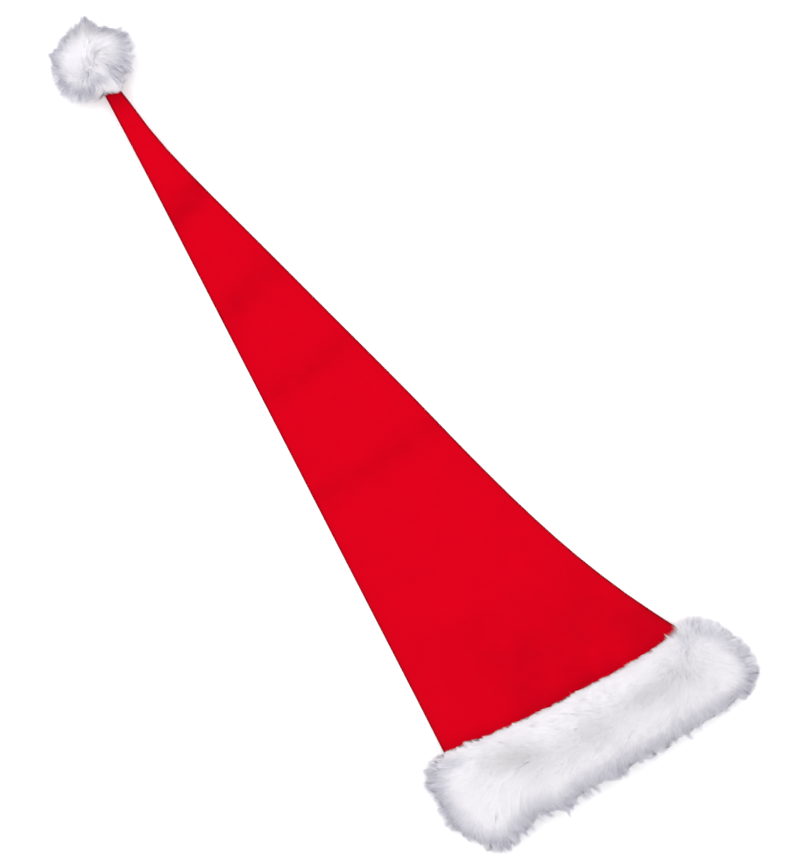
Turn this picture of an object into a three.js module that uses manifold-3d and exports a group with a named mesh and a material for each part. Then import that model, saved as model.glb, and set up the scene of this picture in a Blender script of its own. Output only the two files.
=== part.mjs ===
// A long santa hat lying flat: a hollow cone of red felted cloth, folded along one edge and sewn along the
// other, with a deep plush cuff round its mouth and a plush pompom over its tip.
import Module from "manifold-3d";
import * as THREE from "three";
import { LoftGeometry } from "three/addons/geometries/LoftGeometry.js";
import { mergeVertices } from "three/addons/utils/BufferGeometryUtils.js";

// Driving dimensions in millimetres. x runs across the hat from the folded edge to the sewn edge, y runs
// along the fold from the line where the cloth meets the fur to the tip, and z is up from the table.
const CLOTH = 2; // thickness of the felted cloth
const GAP = 0.3; // clearance between pieces that are sewn together
const HEM = -14; // y of the cloth's hem, tucked into the cuff
const TIP = 746; // y of the cloth's closed tip, tucked into the pompom
const EDGE_RISE = 3; // height of the folded and sewn edges over the underside
const EDGE_CORE = 6; // width along those edges where the two layers lie pressed together
const FLAT_FROM = 0.5; // share of the lens height at which the underside turns flat
const TIP_CORE = 10; // length of solid cloth at the gathered tip

const RIM = -97; // y of the cuff's rim at the middle of the hat
const RIM_SLANT = 0.05; // how far the rim comes in for each millimetre across the hat
const PILE_TOP = 21; // depth of the pile that stands up on the cuff
const PILE_END = 31; // depth of the pile at the cuff's two ends
const PILE_INSIDE = 4; // depth of the pile that faces the head
const INSIDE_CORE = 14; // width at the cuff's ends where the inner piles meet
const PILE_SWELL = 1.12; // widens the level stretch along the pile's rounded section
const PILE_ROUND = 0.7; // roundness of that section

const POMPOM = { x: 5, y: 773, z: 37, radius: 42 };

// Sections of the cloth's line: y, x of the sewn edge, height of the underside over the table, and height
// of the upper layer's crest over the edges. The first row carries the line on inside the cuff.
const SECTIONS = [
  { along: -105, seam: 292, rest: 6, loft: 35 },
  { along: -14, seam: 274, rest: 6, loft: 32 },
  { along: 20, seam: 255.5, rest: 3, loft: 31 },
  { along: 55, seam: 236.5, rest: 0, loft: 29 },
  { along: 110, seam: 210.5, rest: 0, loft: 26 },
  { along: 170, seam: 187, rest: 0, loft: 22 },
  { along: 240, seam: 163.5, rest: 0, loft: 17.5 },
  { along: 340, seam: 133, rest: 0, loft: 14 },
  { along: 440, seam: 101, rest: 0, loft: 12 },
  { along: 540, seam: 69, rest: 0, loft: 11 },
  { along: 600, seam: 49.5, rest: 0, loft: 10 },
  { along: 640, seam: 37, rest: 2.5, loft: 9 },
  { along: 680, seam: 26, rest: 11, loft: 8 },
  { along: 715, seam: 20, rest: 22, loft: 7 },
  { along: 746, seam: 14, rest: 29, loft: 5 },
];

// Packing creases across the upper layer: y at the fold, how y grows across the hat, how deep and how wide.
const CREASES = [
  { along: 277, slant: 0.12, depth: 4, reach: 24 },
  { along: 392, slant: 0.18, depth: 3, reach: 20 },
  { along: 487, slant: 0.35, depth: 3.5, reach: 24 },
  { along: 600, slant: 0.4, depth: 3.5, reach: 18 },
];

// Hollows pressed into the cuff's upper pile: middle, half sizes across and along the hat, and depth.
const DENTS = [
  { x: 60, y: -40, halfAcross: 42, halfAlong: 14, depth: 5 },
  { x: 149, y: -47, halfAcross: 28, halfAlong: 15, depth: 6 },
  { x: 206, y: -43, halfAcross: 26, halfAlong: 13, depth: 5 },
];

// Tufts that carry the rim outwards: x, how far, and half width.
const RIM_TUFTS = [
  { x: 12, reach: 9, halfWidth: 26 },
  { x: 86, reach: 7, halfWidth: 16 },
  { x: 288, reach: 3, halfWidth: 14 },
];

// Lumps of the pompom: direction in degrees round z from +x, degrees up, and how far each swells.
const LUMPS = [
  { bearing: 70, lift: 15, swell: 4 },
  { bearing: 150, lift: 10, swell: 5 },
  { bearing: 215, lift: 20, swell: 3 },
  { bearing: 290, lift: 25, swell: 3 },
  { bearing: 5, lift: 10, swell: 4 },
  { bearing: 110, lift: 75, swell: 3 },
];
const LUMP_TIGHTNESS = 5; // higher makes each lump narrower

// Steps of the facets, and colours.
const SIDES = 44; // points round each contour of the cone and the cuff
const SIDE_CROWDING = 0.6; // draws those points towards the folded and the sewn edge
const CROWN_RINGS = 28;
const POCKET_RINGS = 2; // rings of the cone that the pompom's pocket follows
const CUFF_OUTER_STEPS = 14;
const CUFF_INNER_STEPS = 6;
const POMPOM_SIDES = 32;
const POMPOM_RINGS = 20;
const MERGE_DISTANCE = 1e-3; // points nearer than this are one point

const RED_CLOTH = 0xdd001b;
const WHITE_PLUSH = 0xeeecf2;

const wasm = await Module();
wasm.setup();

const splineColumns = ["seam", "rest", "loft"];
const sectionSpline = new THREE.CubicInterpolant(
  SECTIONS.map((row) => row.along),
  SECTIONS.flatMap((row) => splineColumns.map((column) => row[column])),
  splineColumns.length,
);

function sectionAt(y) {
  const [seam, rest, loft] = sectionSpline.evaluate(y);
  return { seam, rest: Math.max(rest, 0), loft };
}

// A smooth hump that is 1 at zero and has faded out by about two half widths.
function hump(distance, halfWidth) {
  return Math.exp(-((distance / halfWidth) ** 2));
}

// Heights of the cloth's upper and under faces at a point of the plan.
function clothFaces(x, y) {
  const { seam, rest, loft } = sectionAt(y);
  const across = THREE.MathUtils.clamp((2 * x) / seam - 1, -1, 1);
  const lens = Math.sqrt(1 - across * across);
  let crest = loft;
  for (const crease of CREASES) {
    crest -= crease.depth * hump(y - crease.along - crease.slant * x, crease.reach);
  }
  const lower = rest + EDGE_RISE * Math.max(0, 1 - lens / FLAT_FROM) ** 2;
  const upper = rest + EDGE_RISE + crest * lens;
  return { lower, upper };
}

// One closed contour at y, drawn in from the cloth's edges by inset and from its faces by wall, or let out
// where these are negative. It runs anticlockwise seen from the mouth, starting at the sewn edge.
function contour(y, inset, wall) {
  const half = sectionAt(y).seam / 2;
  const points = [];
  for (let side = 0; side < SIDES; side += 1) {
    const turn = (side / SIDES) * 2 * Math.PI;
    const angle = turn - (SIDE_CROWDING / 2) * Math.sin(2 * turn);
    const x = half + (half - Math.max(inset, 0)) * Math.cos(angle);
    const { lower, upper } = clothFaces(x, y);
    let z = (lower + upper) / 2;
    if (side % (SIDES / 2) !== 0) {
      z = angle < Math.PI ? upper - wall : lower + wall;
    }
    points.push(new THREE.Vector3(x - Math.min(inset, 0) * Math.cos(angle), y, z));
  }
  return points;
}

// y of one of the cone's outer rings, counted from the tip. The last two are the fur line and the hem.
function ringAlong(ring) {
  return ring === CROWN_RINGS ? HEM : THREE.MathUtils.lerp(TIP, 0, ring / (CROWN_RINGS - 1));
}

// The cone is one skin: over the outside from tip to hem, then back up the inside to the closed tip.
function crownGeometry() {
  const outside = [];
  const inside = [];
  const innerTip = TIP - TIP_CORE;
  for (let ring = 0; ring <= CROWN_RINGS; ring += 1) {
    outside.push(contour(ringAlong(ring), 0, 0));
    const y = THREE.MathUtils.lerp(HEM, innerTip, ring / CROWN_RINGS);
    const core = Math.min(EDGE_CORE, sectionAt(y).seam / 4);
    inside.push(contour(y, core, CLOTH));
  }
  const skin = [pinched(outside[0]), ...outside, ...inside, pinched(inside.at(-1))];
  return toGeometry(toSolid(new LoftGeometry(skin)));
}

// The section's middle, repeated once for each of its points, which closes a loft.
function pinched(section) {
  const middle = new THREE.Vector3();
  for (const point of section) {
    middle.addScaledVector(point, 1 / section.length);
  }
  return section.map(() => middle.clone());
}

// Depth of the outer pile over a point of the cuff, whose contour faces (outX, outZ) there.
function pileDepth(point, outX, outZ) {
  let depth = THREE.MathUtils.lerp(PILE_TOP, PILE_END, Math.abs(outX));
  for (const dent of DENTS) {
    const near = hump(point.x - dent.x, dent.halfAcross) * hump(point.y - dent.y, dent.halfAlong);
    depth -= dent.depth * near * Math.max(outZ, 0);
  }
  return depth;
}

function rimAt(x) {
  let y = RIM + RIM_SLANT * (x - sectionAt(0).seam / 2);
  for (const tuft of RIM_TUFTS) {
    y -= tuft.reach * hump(x - tuft.x, tuft.halfWidth);
  }
  return y;
}

// A point of the cuff: station counts round the mouth, y runs along the hat, and share goes from the cloth
// line (0) to the outer pile (1). The pile is flattened where it lies on the table.
function outerPilePoint(station, y, share) {
  const loop = contour(y, -GAP, -GAP);
  const point = loop[station];
  const before = loop[(station + SIDES - 1) % SIDES];
  const after = loop[(station + 1) % SIDES];
  const out = new THREE.Vector2(after.z - before.z, before.x - after.x).normalize();
  const depth = share * pileDepth(point, out.x, out.y);
  const z = Math.max(point.z + depth * out.y, point.z * (1 - share));
  return new THREE.Vector3(point.x + depth * out.x, y, z);
}

// The cuff's section at one station: over the outer pile from rim to lip, down the lip to the cloth, along
// the rebate that takes the hem, and back along the inner pile to the rim.
function cuffSection(station) {
  const rim = rimAt(contour(HEM, -GAP, -GAP)[station].x);
  const points = [];
  for (let step = 0; step <= CUFF_OUTER_STEPS; step += 1) {
    const angle = Math.PI * (1 - step / CUFF_OUTER_STEPS);
    const y = (rim * (1 - Math.cos(angle))) / 2;
    const share = Math.min(1, PILE_SWELL * Math.sin(angle) ** PILE_ROUND);
    points.push(outerPilePoint(station, y, share));
  }
  const rebate = HEM - GAP;
  points.push(outerPilePoint(station, rebate, 0));
  for (let step = 0; step < CUFF_INNER_STEPS; step += 1) {
    const share = Math.cos((step / CUFF_INNER_STEPS) * (Math.PI / 2));
    const y = THREE.MathUtils.lerp(rim, rebate, share);
    const depth = Math.sqrt(share);
    const inset = THREE.MathUtils.lerp(-GAP, INSIDE_CORE, depth);
    const wall = THREE.MathUtils.lerp(-GAP, CLOTH + PILE_INSIDE, depth);
    points.push(contour(y, inset, wall)[station]);
  }
  return points;
}

function cuffGeometry() {
  const sections = [];
  for (let station = 0; station < SIDES; station += 1) {
    sections.push(cuffSection(station));
  }
  return toGeometry(toSolid(new LoftGeometry([...sections, sections[0]])));
}

// The lumpy ball of the pompom, flattened where it lies on the table.
function ballGeometry() {
  const geometry = new THREE.SphereGeometry(1, POMPOM_SIDES, POMPOM_RINGS);
  const position = geometry.getAttribute("position");
  const directions = LUMPS.map((lump) => {
    const bearing = THREE.MathUtils.degToRad(lump.bearing);
    const lift = THREE.MathUtils.degToRad(lump.lift);
    const level = Math.cos(lift);
    return new THREE.Vector3(level * Math.cos(bearing), level * Math.sin(bearing), Math.sin(lift));
  });
  const point = new THREE.Vector3();
  for (let index = 0; index < position.count; index += 1) {
    point.fromBufferAttribute(position, index).normalize();
    let radius = POMPOM.radius;
    LUMPS.forEach((lump, order) => {
      radius += lump.swell * Math.exp(LUMP_TIGHTNESS * (point.dot(directions[order]) - 1));
    });
    point.multiplyScalar(radius);
    position.setXYZ(index, POMPOM.x + point.x, POMPOM.y + point.y, Math.max(0, POMPOM.z + point.z));
  }
  return geometry;
}

function toSolid(geometry) {
  const bare = new THREE.BufferGeometry();
  bare.setAttribute("position", geometry.getAttribute("position"));
  bare.setIndex(geometry.index);
  const merged = mergeVertices(bare, MERGE_DISTANCE);
  const vertProperties = new Float32Array(merged.getAttribute("position").array);
  const triVerts = new Uint32Array(merged.index.array);
  return new wasm.Manifold(new wasm.Mesh({ numProp: 3, vertProperties, triVerts }));
}

function toGeometry(solid) {
  const mesh = solid.getMesh();
  const geometry = new THREE.BufferGeometry();
  geometry.setAttribute("position", new THREE.BufferAttribute(mesh.vertProperties, 3));
  geometry.setIndex(new THREE.BufferAttribute(mesh.triVerts, 1));
  return geometry;
}

// The ball with a pocket that takes the cloth's tip.
function pompomGeometry() {
  const sections = [];
  for (let ring = 0; ring <= POCKET_RINGS; ring += 1) {
    sections.push(contour(ringAlong(ring), -GAP, -GAP));
  }
  for (const point of sections[0]) {
    point.y += GAP;
  }
  const pocket = new LoftGeometry(sections, { capStart: true, capEnd: true });
  return toGeometry(toSolid(ballGeometry()).subtract(toSolid(pocket)));
}

function piece(name, geometry, color, roughness) {
  const material = new THREE.MeshStandardMaterial({ color, roughness, metalness: 0 });
  const mesh = new THREE.Mesh(geometry, material);
  mesh.name = name;
  return mesh;
}

const hat = new THREE.Group();
hat.add(piece("crown", crownGeometry(), RED_CLOTH, 0.9));
hat.add(piece("fur_band", cuffGeometry(), WHITE_PLUSH, 1));
hat.add(piece("pompom", pompomGeometry(), WHITE_PLUSH, 1));

// The origin is on the table, under the middle of the hat's box.
const box = new THREE.Box3().setFromObject(hat);
const middle = box.getCenter(new THREE.Vector3());
hat.position.set(-middle.x, -middle.y, -box.min.z);

export default hat;
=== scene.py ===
import math

import bmesh
import bpy
import numpy as np
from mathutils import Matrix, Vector, noise
from mathutils.bvhtree import BVHTree
from mathutils.kdtree import KDTree


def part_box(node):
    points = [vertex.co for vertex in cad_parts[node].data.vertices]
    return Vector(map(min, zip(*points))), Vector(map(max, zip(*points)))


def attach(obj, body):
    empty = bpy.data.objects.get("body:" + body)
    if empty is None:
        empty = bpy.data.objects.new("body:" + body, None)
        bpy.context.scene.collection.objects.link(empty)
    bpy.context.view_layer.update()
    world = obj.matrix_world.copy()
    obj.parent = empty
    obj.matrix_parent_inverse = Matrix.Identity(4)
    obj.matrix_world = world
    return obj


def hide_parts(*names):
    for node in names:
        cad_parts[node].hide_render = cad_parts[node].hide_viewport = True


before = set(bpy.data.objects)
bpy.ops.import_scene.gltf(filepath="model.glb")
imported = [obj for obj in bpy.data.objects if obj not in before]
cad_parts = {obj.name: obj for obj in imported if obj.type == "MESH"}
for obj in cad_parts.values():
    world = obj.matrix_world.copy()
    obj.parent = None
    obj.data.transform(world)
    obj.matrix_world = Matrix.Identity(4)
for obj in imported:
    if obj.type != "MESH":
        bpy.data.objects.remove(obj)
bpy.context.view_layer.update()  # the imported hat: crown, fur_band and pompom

bl_info = {
    "name": "Santa hat",
    "version": (1, 0, 0),
    "blender": (4, 5, 0),
    "location": "View3D > Sidebar > Santa hat",
    "description": "Dresses the packed hat in felted cloth and long-pile plush",
    "category": "Object",
}

MM = 0.001

# Plan of the hat, taken from the frame: x of the folded edge, y of the line where cloth meets fur.
FOLD_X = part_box("crown")[0].x
FUR_LINE_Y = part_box("fur_band")[1].y
HEM_Y, TIP_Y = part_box("crown")[0].y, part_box("crown")[1].y
CUFF_ORIGIN = (FOLD_X, FUR_LINE_Y)
CLOTH_WIDTH = 255 * MM  # of the flattened cloth at the fur line

OUTLINE_SEED, CUFF_SEED, POMPOM_SEED = 7, 24, 25  # of the random draws

# The cloth's grid: how far inside the outline its heights are read, how near the hem and the tip its end
# rows lie, the least height of the faces that have to look up, and how often it is smoothed.
EDGE_STEP = 0.4 * MM
HEM_STEP = 0.05 * MM
LAST_ROW = 0.9995
CREST_Z = 20 * MM
CLOTH_SMOOTHING = 6

# Packing creases, in mm from the fold and the fur line: along, slant, depth, half width, and how dark the
# shade painted in them is.
CREASES = (
    (277, 0.12, 0.4, 13, 0.13),
    (392, 0.18, 0.4, 14, 0.12),
    (487, 0.35, 0.5, 17, 0.17),
    (600, 0.40, 0.5, 13, 0.28),
)
CREASE_WANDER = 7 * MM

# Relief of the cloth's upper layer. A zone runs from where it starts to where it is full.
RELIEF_ZONE = (0, 9 * MM)  # from the edges inwards
LONG_WAVE, LONG_WAVE_LENGTH = 0.5 * MM, 60 * MM
SHORT_WAVE, SHORT_WAVE_LENGTH = 0.25 * MM, 22 * MM
GATHER_WIDTH, GATHER_LENGTH = 9 * MM, 80 * MM
SEAM_RIPPLE, SEAM_RIPPLE_LENGTH, SEAM_RIPPLE_ZONE = 0.35 * MM, 13 * MM, (14 * MM, 2 * MM)
TIP_PLEAT, TIP_PLEATS, TIP_PLEAT_ZONE = 0.7 * MM, 2.5, (630 * MM, 740 * MM)

# Shade painted on the cloth, mottled near the cuff, along the fur line, towards the tip by the pompom and
# along the edges: how dark, and its zone or the distance in which it fades.
WANDER_SIZE, GRAIN_SIZE = 45 * MM, 14 * MM  # of the large and the small patches in which it varies
NEAR_CUFF_SHADE, NEAR_CUFF_ZONE, NEAR_CUFF_SHARE = 0.17, (135 * MM, 40 * MM), (0.05, 0.4)
FUR_LINE_SHADE, FUR_LINE_FADE = 0.14, 5 * MM
TIP_SHADE, TIP_SHADE_ZONE = 0.45, (705 * MM, 738 * MM)
EDGE_SHADE, EDGE_FADE = 0.9, 1.6 * MM

# How the cuff's pile is combed: x and y in mm from the fold and the fur line, and the heading in degrees
# from the +x axis.
CUFF_COMB = (
    (-6, -6, 147), (-18, -17, 161), (-20, -44, 183), (-16, -79, 212), (-1, -104, 243), (17, -102, 269),
    (41, -100, 311), (78, -103, 321), (71, -88, 314), (116, -97, 296), (175, -95, 288), (196, -93, 292),
    (243, -90, 288), (290, -82, 302), (313, -67, -21), (318, -43, 10), (298, -14, 39), (281, 2, 60),
    (261, 1, 134), (33, -60, 237), (9, -42, 212), (5, -17, 159), (78, -60, 212), (147, -57, 212),
    (203, -57, 216), (259, -58, 262), (31, -20, 150), (94, -29, 153), (161, -30, 158), (217, -31, 175),
    (268, -22, 310), (286, -40, 318), (286, -61, 298), (78, -12, 141), (157, -12, 138), (215, -11, 135),
    (238, -36, 225), (250, -2, 137),
)
CUFF_COMB_REACH = 17 * MM

# Tufts along the cuff's outline: x and y of the tip in mm from the fold and the fur line, and the heading.
CUFF_TUFTS = (
    (-25, -14, 148), (-31, -23, 163), (-27, -38, 178), (-29, -57, 188), (-26, -73, 198), (-19, -85, 213),
    (-11, -97, 223), (1, -113, 238), (13, -117, 258), (27, -115, 288), (40, -106, 303), (50, -102, 318),
    (77, -107, 283), (87, -111, 313), (96, -102, 323), (124, -96, 293), (143, -100, 288), (153, -99, 293),
    (182, -99, 293), (197, -99, 293), (227, -93, 288), (238, -92, 288), (271, -90, 293), (293, -92, 288),
    (304, -87, 313), (314, -78, 323), (322, -68, 338), (324, -55, 353), (320, -44, 8), (315, -32, 18),
    (310, -21, 23), (303, -10, 28), (295, 0, 43), (285, 10, 53), (275, 10, 68),
)
TUFT_LENGTH, TUFT_RADIUS, TUFT_POINT = 12 * MM, 4.5 * MM, 2 * MM

# Wisps that run over the cloth at the fur line, in the same way.
CUFF_WISPS = (
    (5, -1, 143), (14, 0, 140), (23, 2, 143), (31, 0, 146), (39, 0, 143), (57, -3, 145), (75, -3, 147),
    (93, -5, 148), (116, -6, 148), (130, -6, 150), (145, -3, 146), (163, -4, 148), (184, -5, 150),
    (197, -5, 150), (214, -5, 150), (232, -2, 147), (249, 5, 145), (254, 8, 140),
)
WISP_LENGTH, WISP_RADIUS = 10 * MM, 2.8 * MM

# Where the cuff's outline is drawn in: x and y in mm from the fold and the fur line, heading, and by how
# much within what radius.
CUFF_INSETS = (
    (-24, -100, 45, 9, 30), (62, -108, 90, 6, 14), (120, -100, 95, 3, 30), (300, -96, 130, 4, 20),
    (65, 0, 270, 4, 45), (130, 0, 270, 3.5, 45), (195, 0, 270, 4, 45),
)
CUFF_CORNER = (256, -2, 16)  # where the cloth's sewn edge leaves the cuff: x, y and radius in mm
CLOTH_GAP_DEPTH, CLOTH_GAP_MARGIN = 14 * MM, 10 * MM  # of the outline where the cloth comes out

# The outline of a pile: from how many spots it is read, and in what steps.
RIM_SPOTS, RIM_STEP = 40000, 2 * MM

# Spikes along an outline.
SPIKE_SPOTS = 4000  # places of the pile, which the spikes point away from
SPIKE_GROUND = 18 * MM  # how near a spike those places lie
SPIKE_TURN = 0.3  # how much spikes turn aside
SPIKE_LEAST = -0.1  # the shortest, as a share of the longest: it ends just inside the outline
SPIKE_PATCH = 6 * MM  # size of the patches of pile that join the spikes

# How the pile lies.
COMB_SPREAD = 0.2  # how unevenly it is combed
DROOP = 0.35  # how it hangs on steep sides
SOFTNESS = 0.85  # how much it is shaded as one soft surface
GLOW = 0.8  # how much light from above glows through its sides
WALL_SHARE, LEAST_DEPTH = 0.38, 1.5 * MM  # share of a thin wall that is pile, and its least depth
DEPTH_SMOOTHING = 2  # how often the depths are evened out
INWARD_START, OUTWARD_START = 0.2 * MM, 0.1 * MM  # off the surface, so that a ray misses its own face
BACKING_FLOOR, STRAND_FLOOR = 1 * MM, 0.3 * MM  # least heights over the floor
STANDING_LEAN = 0.45  # of a standing strand, as a share of its reach
BLUNT, SHARP = 0.75, 0.92  # shortest strand of a tuft with such a point, as a share of the longest

# The ribbon of a strand.
STRAND_WIDTHS = (0.7, 1.3)  # shares of the width at the root
STRAND_TAPER, TAPER_POWER = 0.65, 1.8  # how much narrower it gets, and how late
STRAND_TILT = 0.4  # how far its face leans back from the way it is combed
TWIST_SPREAD, TWIST_MOST = 0.5, 1.1  # in radians

# Zones of the pile, each from where it starts to where it is full.
FRINGE_ZONE = (1, 0.25)  # distance from the outline, as a share of the fringe's width
CUFF_SIDES, POMPOM_SIDES = (0.85, 0.2), (0.8, 0.1)  # upward part of the normal
CUFF_PARTING, POMPOM_PARTING = (0.75, 0.3), (0.6, 0.2)  # how well the comb's rows agree
APART_ZONE = (0.98, 0.65)  # the same, where strands are left ungathered
LIP_ZONE = (-15 * MM, -4 * MM)  # y of the pile that runs over the cloth
NARROW_X, NARROW_Y = (235 * MM, 275 * MM), (-70 * MM, -45 * MM)  # where the fringe is narrower and paler
FOLD_END, SEAM_END = (10 * MM, -15 * MM), (270 * MM, 300 * MM)  # x of the cuff's two ragged ends
UNDER_SLOPE, UNDER_HEIGHT = -0.75, 4 * MM  # most upward normal and height of what lies on the table
HEAD_ROOM = 5 * MM  # least space in front of what faces the head

# What the cuff's pile does in its zones.
CUFF_LIFT = (-1 * MM, 0.8 * MM)  # mean height of the tips over the surface, and its spread
CUFF_LOOSE, CUFF_PARTED, CUFF_PARTED_RECESS = 0.8, 0.5, 1 * MM  # at a parting: looser, and standing up
SIDE_STANDING, FRINGE_STANDING = 0.95, 0.5  # how far it stands up on the sides and in the fringe
END_RECESS = 0.5  # how much more the fringe falls short at the ragged ends
LIP_BACK, LIP_BOW = 3.5 * MM, 2 * MM  # how far the pile's edge lies behind the fur line, and bows back
LIP_RAGGED, LIP_DROP = 1.5 * MM, 4 * MM  # how uneven that edge is, and how far it sinks
NARROWING, PALENESS = 0.3, 0.35  # of the narrower fringe
RIM_SHADE = 1.4  # width of the shaded rim, as a share of the fringe's width
HIDDEN_LIFT = (-0.5 * MM, 0.5 * MM)  # as CUFF_LIFT, inside and under the cuff

# How strands are gathered: least and most pull, and how much the tones differ in the middle and, added to
# that, in the fringe.
CUFF_TUFT_GATHER = (0.08, 0.25, 0.02, 0.08)
CUFF_WISP_GATHER = (0.12, 0.40, 0.03, 0.08)
HIDDEN_WISP_GATHER = (0.15, 0.45, 0.05, 0.0)
POMPOM_TUFT_GATHER = (0.03, 0.15, 0.02, 0.08)
POMPOM_WISP_GATHER = (0.05, 0.25, 0.03, 0.10)

# Tones, from 0 for white strands to 1 for the darkest: random, and on the fringe painted shade.
STRAND_TONE, STRAND_TONE_SPREAD = 0.0, 0.03
FRINGE_SHADE = 0.48
POMPOM_FRINGE_SHADE = 1.2 * FRINGE_SHADE

CUFF_PARTS = ("cuff_pile_fold_side", "cuff_pile_middle", "cuff_pile_seam_side")

# Hollows of the cuff's pile, with painted shade: x, y, half sizes across and along in mm, and the tone of
# the shade. The last row is the whole top, wide and shallow.
CUFF_HOLLOWS = (
    (44, -24, 26, 15, 0.17), (63, -35, 24, 15, 0.18), (82, -48, 24, 15, 0.14), (138, -47, 26, 17, 0.22),
    (205, -40, 32, 14, 0.20), (232, -36, 30, 18, 0.08), (250, -45, 30, 25, 0.06), (150, -55, 190, 65, 0.11),
)

# How the pompom's pile is combed: x and y in mm from its middle, and the heading in degrees.
POMPOM_COMB = (
    (-5, -2, 73), (-20, -7, 83), (-20, 10, 123), (-33, -1, 163), (-5, 24, 88), (12, 24, 58), (21, 6, 8),
    (29, -2, -22), (26, -18, -37), (12, -28, -92), (-12, -33, -112), (-26, -26, -132), (-36, -16, -162),
    (-18, -19, 68), (3, -21, -87), (19, -24, -62),
)
POMPOM_COMB_REACH = 11 * MM

# Outline of the pompom's pile: heading in degrees, and mm from its middle.
POMPOM_OUTLINE = (
    (10, 45), (22, 41), (35, 36.5), (46, 35), (53, 34), (62, 39), (66, 42), (71, 43.5), (75, 42), (79, 39),
    (88, 36), (100, 35), (115, 34.5), (130, 35.5), (138, 36.5), (147, 41), (151, 44), (156, 42), (165, 41),
    (180, 43), (195, 45.5), (214, 47), (228, 46.5), (241, 46), (252, 41), (264, 36), (271, 39), (279, 42),
    (287, 43), (294, 41), (303, 35), (311, 42), (323, 42), (333, 43), (353, 44.5),
)
POMPOM_TOP = 39 * MM
POMPOM_SHOULDER = 3  # how soon the ball leaves its outline for its top

# Where the pompom's pile lies over the cloth: the heading in which the cloth leaves it, how far aside of
# that in degrees, and how far from the middle.
POMPOM_CLOTH = 276
POMPOM_LIP_TURN, POMPOM_LIP_REACH = (20, 13), (24 * MM, 30 * MM)

# What the pompom's pile does in its zones: the mean height of its tips, how much higher it is over the cloth
# and its spread, and at a parting how loose it is and how it stands up.
POMPOM_LIFT, POMPOM_LIP_LIFT, POMPOM_LIFT_SPREAD = -2 * MM, 2.5 * MM, 0.7 * MM
POMPOM_LOOSE, POMPOM_PARTED, POMPOM_PARTED_RECESS = 0.6, 0.4, 1.5 * MM

# Hollows of the pompom's pile, with painted shade: x, y and half sizes in mm from its middle, and the tone.
POMPOM_HOLLOWS = (
    (21, -8, 8, 8, 0.12), (12, -19, 8, 8, 0.12), (-2, 28, 11, 11, 0.2), (14, 24, 10, 10, 0.25),
    (31, 12, 10, 10, 0.2),
)

# The light and the camera, both over the hat.
SOFTBOX_SIZE, SOFTBOX_PLACE = 3.0, (-0.05, 0.3, 3.2)
CAMERA_SPOT = (-30.96 * MM, -50.14 * MM)
SENSOR_WIDTH = 36  # in mm


def linear(hex_colour):
    """A hex sRGB colour as linear red, green, blue and alpha."""
    channels = [int(hex_colour[i:i + 2], 16) / 255 for i in (1, 3, 5)]
    return tuple(c / 12.92 if c <= 0.04045 else ((c + 0.055) / 1.055) ** 2.4 for c in channels) + (1.0,)


def smooth_step(start, full, value):
    """0 up to start, 1 from full on and an S curve between, for numbers or arrays. Full may be the lower."""
    share = np.clip((value - start) / (full - start), 0, 1)
    return share * share * (3 - 2 * share)


def unit(vectors):
    """Vectors along the last axis, scaled to length one."""
    return vectors / np.maximum(np.linalg.norm(vectors, axis=-1, keepdims=True), 1e-12)


def length_property(name, description, default):
    return bpy.props.FloatProperty(name=name, description=description, default=default, unit="LENGTH",
                                   precision=4)


def colour_property(name, description, hex_colour):
    return bpy.props.FloatVectorProperty(name=name, description=description, default=linear(hex_colour),
                                         size=4, subtype="COLOR", min=0, max=1)


class FeltSettings(bpy.types.PropertyGroup):
    """The red cloth of the crown."""

    thickness: length_property("Thickness", "Thickness of the felted cloth", 2 * MM)
    columns: bpy.props.IntProperty(name="Columns", description="Faces across each layer", default=48)
    rows: bpy.props.IntProperty(name="Rows", description="Faces along each layer", default=230)
    pucker_height: length_property("Pucker height", "Height of the gathers at the fur line", 1.2 * MM)
    pucker_reach: length_property("Pucker reach", "How far the gathers run up the cloth", 35 * MM)
    flat_width: length_property("Cut width", "Widest part of the flat panel", 0.57)
    flat_length: length_property("Cut length", "Length of the flat panel", 0.76)
    flat_area: bpy.props.FloatProperty(name="Cut area", description="Area of the flat panel, square metres",
                                       default=0.2, precision=3)
    red: colour_property("Red", "Dyed felt where the nap stands", "#BD0015")
    # Painted shade: the red the felt darkens to in its creases, near the cuff, along the fur line, by the
    # pompom and along its edges.
    painted_shade_red: colour_property("Pressed red", "Dyed felt where the nap is worn flat", "#78000C")


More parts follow.
